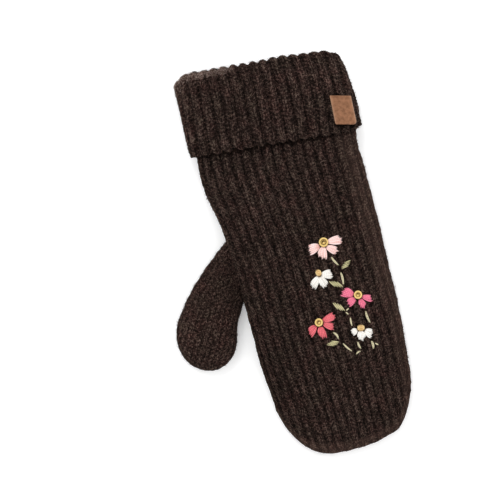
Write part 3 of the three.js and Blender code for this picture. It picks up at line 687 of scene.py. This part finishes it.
# How much a petal deepens in colour at its foot, where that isn't the usual 0.1
DEEPER_FOOT = {"pale_pink": 0.15, "pale_pink_petal_4": 1.0, "rose": 0.35, "coral": 0.35}
LEAVES = [
    # from, to, wide
    ((14.0, 138.4), (21.0, 134.7), 3.0),
    ((4.0, 144.0), (11.9, 149.8), 3.0),
    ((2.7, 157.9), (9.0, 164.7), 2.9),
    ((-7.6, 182.6), (0.1, 183.0), 3.2),
]
STEMS = [
    # from, to, bow, wide
    ((9.7, 129.6), (12.7, 135.7), 0.3, 1.5),
    ((12.8, 140.5), (12.4, 148.4), -0.3, 1.6),
    ((11.6, 163.8), (9.8, 164.8), 0, 1.0),
    ((9.3, 165.7), (10.4, 167.6), 0, 1.0),
    ((11.1, 169.8), (10.7, 175.2), 0.2, 1.2),
    ((21.5, 168.4), (22.4, 176.4), 0.4, 1.6),
    ((11.5, 186.0), (12.3, 190.6), 0.3, 1.4),
    ((11.6, 192.1), (8.5, 193.3), 0.3, 1.1),
    ((20.1, 187.8), (20.0, 192.8), -0.3, 1.7),
    ((21.9, 189.7), (23.9, 191.5), 0, 1.0),
    ((-2.1, 176.0), (0.1, 181.0), -0.8, 1.5),
    ((2.2, 184.4), (6.4, 190.7), 0.3, 1.2),
]


def round_outline(corners, count):
    """Closed smooth outline through a few points."""
    p = np.asarray(corners, dtype=float)
    u = np.arange(count) / count * len(p)
    i = np.floor(u).astype(int)
    t = (u - i)[:, None]
    p0, p1, p2, p3 = (p[(i + k) % len(p)] for k in (-1, 0, 1, 2))
    m1, m2 = 0.52 * (p2 - p0), 0.52 * (p3 - p1)
    bend = (2 * t ** 3 - 3 * t ** 2 + 1) * p1 + (t ** 3 - 2 * t ** 2 + t) * m1
    return bend + (-2 * t ** 3 + 3 * t ** 2) * p2 + (t ** 3 - t ** 2) * m2


def on_back(flat, raise_by):
    up = back_height(HAND, flat[..., 0], flat[..., 1]) + 0.2 + raise_by
    return np.concatenate([flat, up[..., None]], -1)


def arch(t, sharpness):
    return np.maximum(np.sin(math.pi * t), 0) ** sharpness


def far_edge(outline, start, bearing):
    """How far the outline lies from a place, at each bearing."""
    rel = outline - start
    angle = np.arctan2(rel[:, 1], rel[:, 0])
    radius = np.hypot(rel[:, 0], rel[:, 1])
    off = np.mod(angle[:, None] - bearing[None, :] + math.pi, 2 * math.pi) - math.pi
    return np.where(np.abs(off) < 0.05, radius[:, None], 0).max(0)


def petal_paths(corners, strands, source, top, shorter, inner):
    """Satin stitches from the foot of a petal out to its edge, and the thickness along them."""
    corners = np.asarray(corners, dtype=float)
    foot = corners[0]
    outline = round_outline(corners, 720)
    centre = outline.mean(0)
    outline = centre + (outline - centre) * PETAL_SIZE
    axis = centre - foot
    length = np.linalg.norm(axis)
    axis /= length
    side = left_of(axis)
    behind = foot - axis * length * 0.9
    rel = outline - behind
    bearings = np.arctan2(rel @ side, rel @ axis)
    low, high = bearings.min(), bearings.max()
    k = np.linspace(0.12, 0.88, strands) if inner else (np.arange(strands) + 0.5) / strands
    bearing = low + (high - low) * (0.04 + 0.92 * k)
    facing = math.atan2(axis[1], axis[0])
    reach = far_edge(outline, behind, facing + bearing) - shorter
    reach = reach + source.normal(size=strands) * 0.2 + 0.28 * (-1.0) ** np.arange(strands)
    ray = axis * np.cos(bearing)[:, None] + side * np.sin(bearing)[:, None]
    ends = behind + reach[:, None] * ray
    spread = (2 * k - 1)[:, None]
    half = (ends @ side).max() - (ends @ side).min()
    starts = foot - axis * 0.55 + side * spread * min(half * 0.24, 1.1)
    t = np.linspace(0, 1, 12)[None, :, None]
    bulge = side * spread * 0.12 * half
    flat = blend(starts[:, None], ends[:, None], t) + bulge[:, None] * (4 * t * (1 - t))
    t = t[..., 0]
    level = top * arch(t, 0.4) - 0.3 * (1 - arch(t, 0.3))
    level = level + 0.07 * source.uniform(-1, 1, (strands, 1)) + 0.16 * (1 - np.abs(spread))
    thick = np.clip(half / strands * 0.54, 0.26, 0.56)
    taper = (0.72 + 0.28 * smooth(0, 0.5, t)) * (1 - 0.6 * smooth(0.86, 1, t))
    return on_back(flat, level), thick * taper


def eye_ring(node, at, wide, toward):
    """Two plies twisted into a ring, round a lower ring in the deep colour and a small knot."""
    turn = np.linspace(0, 2 * math.pi, 120)
    circle = np.stack([np.cos(turn), np.sin(turn)], -1)
    strands = []
    for ply in (0, math.pi):
        twist = 11 * turn + ply
        flat = at + circle * (wide - 0.3 + 0.22 * np.cos(twist))[:, None]
        strands.append((on_back(flat, 0.95 + 0.2 * np.sin(twist)), 0.38, 0.0))
    flat = at + circle * (np.array([0.47, 0.49]) * wide)
    strands.append((on_back(flat, 0.45), 0.4, 0.95))
    knot = at + toward * 0.45 + 0.34 * np.stack([np.cos(2 * turn), np.sin(2 * turn)], -1)
    strands.append((on_back(knot, 0.5 + 0.5 * turn / turn[-1]), 0.4, 0.1))
    paths, thick, tone = zip(*strands)
    threads(node, "gold_thread", paths, np.array(thick)[:, None], tone)


def eye_dome(node, at, wide, long, toward):
    """Satin stitches over a round centre, deeper in colour along its middle."""
    side = left_of(toward)
    t = np.linspace(-1, 1, 14)
    paths, tone = [], []
    for s in np.linspace(-0.8, 0.8, 6):
        reach = long * math.sqrt(1 - s * s) + 0.1
        flat = at + side * s * wide + toward * (t * reach)[:, None]
        paths.append(on_back(flat, (1.75 - 0.75 * s * s) * (1 - t ** 2) ** 0.42 - 0.2 * t ** 4))
        tone.append(0.75 - 0.9 * abs(s))
    threads(node, "orange_thread", paths, 0.46 * (1 - 0.3 * t ** 4), tone)


def flower(name, slot, eye, at, wide, long, petals):
    source = np.random.default_rng(len(name) * 7 + int(at[1]))
    at = np.asarray(at)
    toward = unit(np.mean([np.mean(corners, axis=0) for corners in petals], axis=0) - at)
    foot = 1 - smooth(0.05, 0.55, np.linspace(0, 1, 12))
    for number, corners in enumerate(petals, 1):
        node = f"{name}_petal_{number}"
        over, thick = petal_paths(corners, 6, source, 0.8, 0, False)
        under, thicker = petal_paths(corners, 5, source, 0.42, 0.45, True)
        radius = np.concatenate([np.tile(thick, (6, 1)), np.tile(thicker, (5, 1))])
        varied = 0.15 * (-1.0) ** np.arange(6) + source.uniform(-0.15, 0.3, 6)
        deeper = DEEPER_FOOT.get(node, DEEPER_FOOT.get(name, 0.1))
        tone = np.concatenate([varied, np.full(5, 0.9)])[:, None] + foot * deeper
        threads(node, slot, np.concatenate([over, under]), radius, tone)
    if eye == "ring":
        eye_ring(f"{name}_eye", at, wide, toward)
    else:
        eye_dome(f"{name}_eye", at, wide, long, toward)


def leaf(number, start, end, wide):
    """Slanted satin stitches, the chords of the leaf's outline."""
    start, end = np.asarray(start), np.asarray(end)
    axis = unit(end - start)
    side = left_of(axis)
    turn = math.radians(20)
    along = axis * math.cos(turn) + side * math.sin(turn)
    across = left_of(along)
    middle = (start + end) / 2
    corners = [start, middle + side * wide / 2, end, middle - side * wide / 2]
    outline = round_outline(corners, 400) - middle
    places = outline @ across
    source = np.random.default_rng(600 + number)
    t = np.linspace(0, 1, 12)
    paths, tone = [], []
    strands = 4
    for place in np.linspace(places.min(), places.max(), 2 * strands + 1)[1::2]:
        reach = (outline @ along)[np.abs(places - place) < 0.12]
        ends = [reach.min() + source.normal() * 0.2, reach.max() + source.normal() * 0.2]
        flat = middle + across * place + along * blend(ends[0], ends[1], t)[:, None]
        paths.append(on_back(flat, 0.6 * arch(t, 0.4) - 0.2 + 0.1 * source.uniform(-1, 1)))
        tone.append(source.uniform(-0.4, 0.5))
    radius = (places.max() - places.min()) / strands * 0.44 * (0.45 + 0.55 * arch(t, 0.5))
    tone = np.array(tone)[:, None] + 0.75 * (1 - arch(t, 0.5))
    threads(f"leaf_{number}", "leaf_thread", paths, radius, tone)


def stem(number, start, end, bow, wide):
    """A running stitch: two light strands side by side on a deeper one, thin at both ends."""
    start, end = np.asarray(start), np.asarray(end)
    axis = end - start
    side = left_of(axis) / np.linalg.norm(axis)
    t = np.linspace(0, 1, 28)
    centre = start + axis * t[:, None] + side * (bow * 4 * t * (1 - t))[:, None]
    swell = 0.4 + 0.6 * np.sin(math.pi * t ** 0.9) ** 0.8
    paths, radius = [], []
    for place, level, thick in ((-0.19, 0.5, 0.25), (0.19, 0.46, 0.25), (0, 0.1, 0.46)):
        flat = centre + side * (place * wide * swell)[:, None]
        paths.append(on_back(flat, level * arch(t, 0.4) - 0.15))
        radius.append(thick * wide * swell)
    tone = np.array([[0.0], [0.12], [1.0]]) + 0.4 * (1 - arch(t, 0.5))
    threads(f"stem_{number}", "stem_thread", paths, radius, tone)


# Upper left, upper right, lower left and lower right, and where the tag begins to bend down
TAG_CORNERS = [(35.7, 30.7), (48.9, 34.1), (34.4, 49.3), (47.9, 52.9)]
TAG_BEND = 0.86
# Right, down, rounding across and down, and the quarter turn that each corner starts at
TAG_ROUNDING = [(1, 1, 0.19, 0.14, 0), (0, 1, 0.06, 0.05, 1),
                (0, 0, 0.03, 0.025, 2), (1, 0, 0.04, 0.03, 3)]
# Size and height of the rings that make the plate, from the middle below to the middle above
TAG_RINGS = np.array([
    (0.02, 0), (0.3, 0), (0.65, 0), (0.93, 0), (0.985, 0.12), (1, 0.4), (1, 0.95), (0.985, 1.22),
    (0.955, 1.4), (0.92, 1.48), (0.87, 1.5), (0.78, 1.46), (0.6, 1.44), (0.35, 1.44), (0.02, 1.44)])


def tag_point(s, t, raise_by):
    """Place on the tag, s across and t down from 0 to 1."""
    a, b, c, d = (np.array(p) for p in TAG_CORNERS)
    flat = blend(blend(a, b, s[..., None]), blend(c, d, s[..., None]), t[..., None])
    centre, half, _, _ = across_at(CUFF, flat[..., 1], 0)
    bend = centre + TAG_BEND * half
    held = back_height(CUFF, np.minimum(flat[..., 0], bend), flat[..., 1])
    past = flat[..., 0] - bend
    fall = 0.5 * (past + np.sqrt(past ** 2 + 1.2))
    up = held + 0.55 - fall * 0.42 + 0.45 * t * t
    return np.concatenate([flat, (up + raise_by)[..., None]], -1)


def tag_plate(material):
    walk = []
    for at_s, at_t, round_s, round_t, quarter in TAG_ROUNDING:
        angle = (quarter + np.linspace(0, 1, 10)) * math.pi / 2
        centre_s = at_s - round_s if at_s else round_s
        centre_t = at_t - round_t if at_t else round_t
        walk.append(np.stack([centre_s + round_s * np.cos(angle),
                              centre_t + round_t * np.sin(angle)], -1))
    walk = np.concatenate(walk + [walk[0][:1]])
    gone = length_gone(walk)
    even = np.sort(np.concatenate([gone[:-1], np.linspace(0, gone[-1], 81)[1:-1]]))
    size, level = TAG_RINGS[:, :1], TAG_RINGS[:, 1:]
    s = 0.5 + (np.interp(even, gone, walk[:, 0]) - 0.5) * size
    t = 0.5 + (np.interp(even, gone, walk[:, 1]) - 0.5) * size
    points = tag_point(s, t, level)
    faces = grid_faces(points.shape[0], points.shape[1], True)[:, ::-1]
    own(make_mesh("tag_leather", points, faces, material, np.stack([s, t], -1)), "tag")


# Materials
def srgb(r, g, b):
    out = []
    for value in (r, g, b):
        c = value / 255
        out.append(c / 12.92 if c <= 0.04045 else ((c + 0.055) / 1.055) ** 2.4)
    return (*out, 1)


class Paint:
    """A material, with short calls for the nodes before its shader."""

    def __init__(self, name, roughness, specular=0.25, sheen=0.0, sheen_tint=(1, 1, 1, 1)):
        self.material = bpy.data.materials.new(name)
        self.material.use_nodes = True
        self.shader = self.material.node_tree.nodes["Principled BSDF"]
        self.plug(self.shader, {"Roughness": roughness, "Specular IOR Level": specular})
        if sheen:
            self.plug(self.shader, {
                "Sheen Weight": sheen, "Sheen Roughness": 0.45, "Sheen Tint": sheen_tint})

    def plug(self, node, inputs):
        for socket, value in inputs.items():
            if isinstance(value, (int, float, tuple)):
                node.inputs[socket].default_value = value
            else:
                self.material.node_tree.links.new(value, node.inputs[socket])

    def add_node(self, kind, inputs, **settings):
        node = self.material.node_tree.nodes.new("ShaderNode" + kind)
        for key, value in settings.items():
            setattr(node, key, value)
        self.plug(node, inputs)
        return node

    def math(self, operation, *values, clamp=False):
        inputs = dict(enumerate(values))
        return self.add_node("Math", inputs, operation=operation, use_clamp=clamp).outputs[0]

    def add(self, first, *others):
        for value in others:
            first = self.math("ADD", first, value)
        return first

    def times(self, first, second, clamp=False):
        return self.math("MULTIPLY", first, second, clamp=clamp)

    def less(self, first, second):
        return self.math("SUBTRACT", first, second)

    def wave(self, turns):
        """A cosine of a number of whole turns, from -1 to 1."""
        return self.math("COSINE", self.times(turns, 2 * math.pi))

    def ramp(self, factor, stops):
        node = self.add_node("ValToRGB", {0: factor})
        elements = node.color_ramp.elements
        while len(elements) < len(stops):
            elements.new(0.5)
        for element, (place, colour) in zip(elements, stops):
            element.position = place
            element.color = colour
        return node.outputs[0]

    def noise(self, vector, scale, detail, roughness=0.6, distortion=0.0):
        return self.add_node("TexNoise", {
            "Vector": vector, "Scale": scale, "Detail": detail, "Roughness": roughness,
            "Distortion": distortion}).outputs[0]

    def scaled(self, vector, scale):
        return self.add_node("Mapping", {"Vector": vector, "Scale": scale}).outputs[0]

    def mix(self, factor, first, second, kind="MIX"):
        inputs = {0: factor, 6: first, 7: second}
        return self.add_node("Mix", inputs, data_type="RGBA", blend_type=kind).outputs[2]

    def tinted(self, colour, tint):
        return self.mix(1.0, colour, tint, "MULTIPLY")

    def knit_map(self):
        """The Knit map, and its two parts."""
        uv = self.add_node("UVMap", {}, uv_map="Knit").outputs[0]
        parts = self.add_node("SeparateXYZ", {0: uv}).outputs
        return uv, parts[0], parts[1]

    def place(self):
        return self.add_node("TexCoord", {}).outputs["Object"]

    def tone(self):
        return self.add_node("Attribute", {}, attribute_name="tone").outputs["Fac"]

    def finish(self, colour, height=None, strength=0.0, distance=0.0):
        self.plug(self.shader, {"Base Color": colour})
        if height is not None:
            bump = self.add_node("Bump", {
                "Strength": strength, "Distance": distance, "Height": height})
            self.plug(self.shader, {"Normal": bump.outputs[0]})
        return self.material


YARN = ((0.18, (4, 2.5, 2)), (0.40, (20, 13, 11)), (0.60, (47, 34, 31)), (0.92, (108, 91, 82)))


def knit_material(name, gain, seed, vee, rib_shade, streak):
    """Heathered fuzzy yarn: painted shade between the legs, brown, rosy and grey-olive fibres.

    Above 0 the tone paints a highlight on it, and below 0 a shadow.
    """
    p = Paint(name, 0.95, 0.02, 0.03, (0.8, 0.66, 0.56, 1))
    uv, rib, course = p.knit_map()
    place = p.place()
    away = p.times(p.math("ABSOLUTE", p.less(p.math("FRACT", rib), 0.5)), 2)
    wander = p.noise(p.scaled(uv, (2.2, 0.8, 1)), 1.0, 2)
    slant = p.add(course, p.times(away, -0.75 * vee), p.times(wander, 0.5))
    leg = p.add(p.times(p.wave(slant), 0.5), 0.5)
    furrow = p.math("POWER", away, 2.2)
    along_leg = p.add_node("CombineXYZ", {
        0: p.times(slant, 4.6), 1: p.times(rib, 4.2), 2: p.times(course, 0.6)}).outputs[0]
    strands = p.noise(along_leg, 1.0, 4, 0.75, 0.8)
    fibres = p.noise(place, 1500, 4, 0.75, 0.5)
    specks = p.noise(place, 780, 3, 0.7, 0.3)
    streaks = p.noise(p.scaled(uv, (6.5, 0.3, 1)), 1.0, 3, 0.6, 0.2)
    weights = ((fibres, 1.6), (specks, 1.0), (strands, 1.0), (streaks, streak), (leg, 0.12))
    light = p.add(*(p.times(p.less(pattern, 0.5), weight) for pattern, weight in weights))
    # painted shade down the furrows between the ribs
    light = p.add(p.less(light, p.times(furrow, rib_shade)), 0.5 + 0.31 * rib_shade)
    shade = p.ramp(light, [(at, srgb(*(value * gain for value in brown))) for at, brown in YARN])
    heather = p.noise(place, 95 + seed, 3, 0.7)
    shade = p.tinted(shade, p.ramp(heather, [
        (0.34, (0.92, 1.0, 0.94, 1)), (0.5, (1, 1, 1, 1)), (0.66, (1.14, 0.96, 0.98, 1))]))
    patches = p.noise(place, 28, 2, 0.5)
    shade = p.tinted(shade, p.ramp(patches, [
        (0.3, (0.86, 0.86, 0.86, 1)), (0.7, (1.14, 1.14, 1.14, 1))]))
    tone = p.tone()
    # painted highlight where the tone is above 0, painted shade where it is below 0
    painted_highlight = p.mix(0.35, p.tinted(shade, (1.5, 1.45, 1.4, 1)), srgb(78, 61, 55))
    shade = p.mix(p.times(tone, 1.0, clamp=True), shade, painted_highlight)
    shaded = p.tinted(shade, (0.3, 0.28, 0.26, 1))
    shade = p.mix(p.times(tone, -1.0, clamp=True), shade, shaded)
    height = p.add(p.times(leg, 0.4), p.times(fibres, 0.9), p.times(strands, 0.9), specks)
    return p.finish(shade, height, 1.0, 0.0011)


def thread_material(name, colour, deep):
    """Lustrous twisted thread, turned toward its deep colour by the tone."""
    p = Paint(name, 0.55, 0.35, 0.06)
    _, turn, along = p.knit_map()
    ply = p.add(p.times(p.wave(p.add(p.times(turn, 2), p.times(along, 0.9))), 0.5), 0.5)
    fibres = p.noise(p.scaled(p.place(), (1800, 1800, 1800)), 1.0, 4, 0.65)
    texture = p.add(p.times(ply, 0.25), p.times(fibres, 0.6))
    # painted shade: lighter along the top of the thread, darker down its sides and underneath
    light = p.add(texture, p.times(p.wave(p.less(turn, 0.25)), 0.1))
    light = p.less(light, p.times(p.tone(), 0.3))
    shade = p.ramp(light, [(0.12, srgb(*deep)), (0.56, srgb(*colour))])
    return p.finish(shade, texture, 0.5, 0.00012)


def leather_material():
    """Tan leather with a fine grain, lighter along its left and right edges."""
    p = Paint("tan_leather", 0.5)
    _, across, _ = p.knit_map()
    place = p.place()
    away = p.times(p.math("ABSOLUTE", p.less(across, 0.5)), 2)
    grain = p.add_node("TexVoronoi", {"Scale": 1500, "Vector": place}).outputs["Distance"]
    mottle = p.noise(place, 420, 4, 0.6)
    shade = p.ramp(mottle, [(0.3, srgb(106, 69, 44)), (0.7, srgb(150, 104, 74))])
    edge = p.times(p.math("POWER", away, 10), p.add(p.times(mottle, 0.8), 0.4), clamp=True)
    shade = p.mix(edge, shade, srgb(174, 134, 106))
    return p.finish(shade, p.add(p.times(grain, 0.6), p.times(mottle, 0.5)), 0.35, 0.00025)


def fibre_material(name, low, high):
    """Loose fibres, from dark to light by the tone of each one."""
    p = Paint(name, 0.9, 0.05, 0.06, (0.8, 0.7, 0.65, 1))
    _, tone, _ = p.knit_map()
    return p.finish(p.ramp(tone, [(0.0, srgb(*low)), (1.0, srgb(*high))]))


rib_knit = knit_material("rib_knit_yarn", 1.06, 0, 1.0, 0.22, 0.9)
cuff_knit = knit_material("cuff_knit_yarn", 1.1, 5, -1.0, 0.2, 1.0)
plain_knit = knit_material("plain_knit_yarn", 1.28, 9, 1.0, 0.13, 0.45)
THREADS = {name: thread_material(name, colour, deep) for name, colour, deep in (
    ("pale_pink_thread", (251, 226, 222), (216, 156, 142)),
    ("white_thread", (253, 251, 247), (184, 175, 160)),
    ("rose_thread", (248, 134, 162), (166, 46, 80)),
    ("coral_thread", (240, 122, 130), (158, 30, 48)),
    ("gold_thread", (244, 212, 134), (122, 90, 30)),
    ("orange_thread", (234, 208, 150), (180, 126, 58)),
    ("leaf_thread", (212, 204, 156), (84, 76, 38)),
    ("stem_thread", (220, 210, 174), (94, 86, 46)),
)}

# The knitted cloth
hand_back, back_points, back_normals = hand_cloth("hand_back_knit", 0.0, 0.5, 10, rib_knit, False)
hand_palm, _, _ = hand_cloth("hand_palm_knit", 0.5, 1.0, 8, rib_knit, True)
cuff, cuff_points, cuff_normals, cuff_rim, cuff_flank = cuff_cloth(cuff_knit)
lining = lining_cloth(rib_knit)
thumb, thumb_points, thumb_normals = thumb_cloth(plain_knit, False)
thumb_lining, _, _ = thumb_cloth(plain_knit, True)
for piece in (hand_back, hand_palm, cuff, lining):
    own(piece, "hand")
for piece in (thumb, thumb_lining):
    own(piece, "thumb")

tag_plate(leather_material())
for row in FLOWERS:
    flower(*row)
for number, row in enumerate(LEAVES, 1):
    leaf(number, *row)
for number, row in enumerate(STEMS, 1):
    stem(number, *row)

# Loose fibres: over what shows of the cloth, and paler ones as a painted highlight on the cuff's
# border
covered = back_points[:, :, 1] > 54
visible = thumb_points[..., 2] < palm_height(thumb_points[..., 0], thumb_points[..., 1], 0)
shown = slice(12, 106)
everywhere = [(back_points[covered], back_normals[covered]),
              (thumb_points[visible], thumb_normals[visible]),
              (cuff_points[shown], cuff_normals[shown])]
along_rim = [(cuff_points[cuff_rim], cuff_normals[cuff_rim])]
down_flank = [(cuff_points[cuff_flank], cuff_normals[cuff_flank])]
dark_fibre = fibre_material("dark_fibre", (12, 8, 7), (46, 34, 30))
pale_fibre = fibre_material("pale_fibre", (44, 32, 27), (116, 92, 82))
# painted highlight: fibres much paler than the yarn, for the lit fuzz along the cuff's edge
highlight_fibre = fibre_material("highlight_fibre", (98, 80, 73), (176, 154, 144))
for name, places, count, long, material in (
        ("dark_fuzz", everywhere, 22000, 2.0, dark_fibre),
        ("pale_fuzz", everywhere, 22000, 2.0, pale_fibre),
        ("rim_fuzz", along_rim, 1500, 1.6, highlight_fibre),
        ("flank_fuzz", down_flank, 450, 1.6, highlight_fibre)):
    own(fuzz(name, places, count, long, material, rng), "hand")

# Floor, lights and camera
FLOOR_REACH = 3.0
floor_mesh = bpy.data.meshes.new("floor")
corners = [(x * FLOOR_REACH, y * FLOOR_REACH, 0) for x, y in ((-1, -1), (1, -1), (1, 1), (-1, 1))]
floor_mesh.from_pydata(corners, [], [(0, 1, 2, 3)])
floor = add_object("floor", floor_mesh)
floor_paint = Paint("pale_floor", 0.9)
floor_paint.plug(floor_paint.shader, {
    "Base Color": (0.9, 0.9, 0.9, 1), "Emission Color": (1, 1, 1, 1), "Emission Strength": 0.3})
floor_mesh.materials.append(floor_paint.material)

world = bpy.data.worlds.new("studio")
world.use_nodes = True
background = world.node_tree.nodes["Background"]
background.inputs["Color"].default_value = (1, 1, 1, 1)
background.inputs["Strength"].default_value = 0.82
bpy.context.scene.world = world
bpy.context.scene.view_settings.view_transform = "Standard"

PHOTO_TURN = math.radians(15.5)
PICTURE_WIDTH = 0.320
LENS, SENSOR = 150, 36
right = Vector((math.cos(PHOTO_TURN), -math.sin(PHOTO_TURN), 0))
up = Vector((math.sin(PHOTO_TURN), math.cos(PHOTO_TURN), 0))
# What the camera looks straight down at
middle = Vector((-0.01519, 0.01112, 0.009))


def area_light(name, toward_right, toward_up, height, size, power):
    data = bpy.data.lights.new(name, "AREA")
    data.energy = power
    data.size = size
    lamp = add_object(name, data)
    lamp.location = middle + right * toward_right + up * toward_up + Vector((0, 0, height))
    lamp.rotation_euler = (middle - lamp.location).to_track_quat("-Z", "Y").to_euler()


# Metres to the right, up and above the mitten, size and watts
area_light("key", -0.5, 0.9, 1.1, 0.9, 10)
area_light("fill", 0.9, -0.3, 1.2, 1.2, 5)

camera_data = bpy.data.cameras.new("camera")
camera_data.lens = LENS
camera_data.sensor_width = SENSOR
camera = add_object("camera", camera_data)
axes = Matrix((right, up, Vector((0, 0, 1)))).transposed().to_4x4()
away = Vector((0, 0, PICTURE_WIDTH * LENS / SENSOR))
camera.matrix_world = Matrix.Translation(middle + away) @ axes
bpy.context.scene.camera = camera
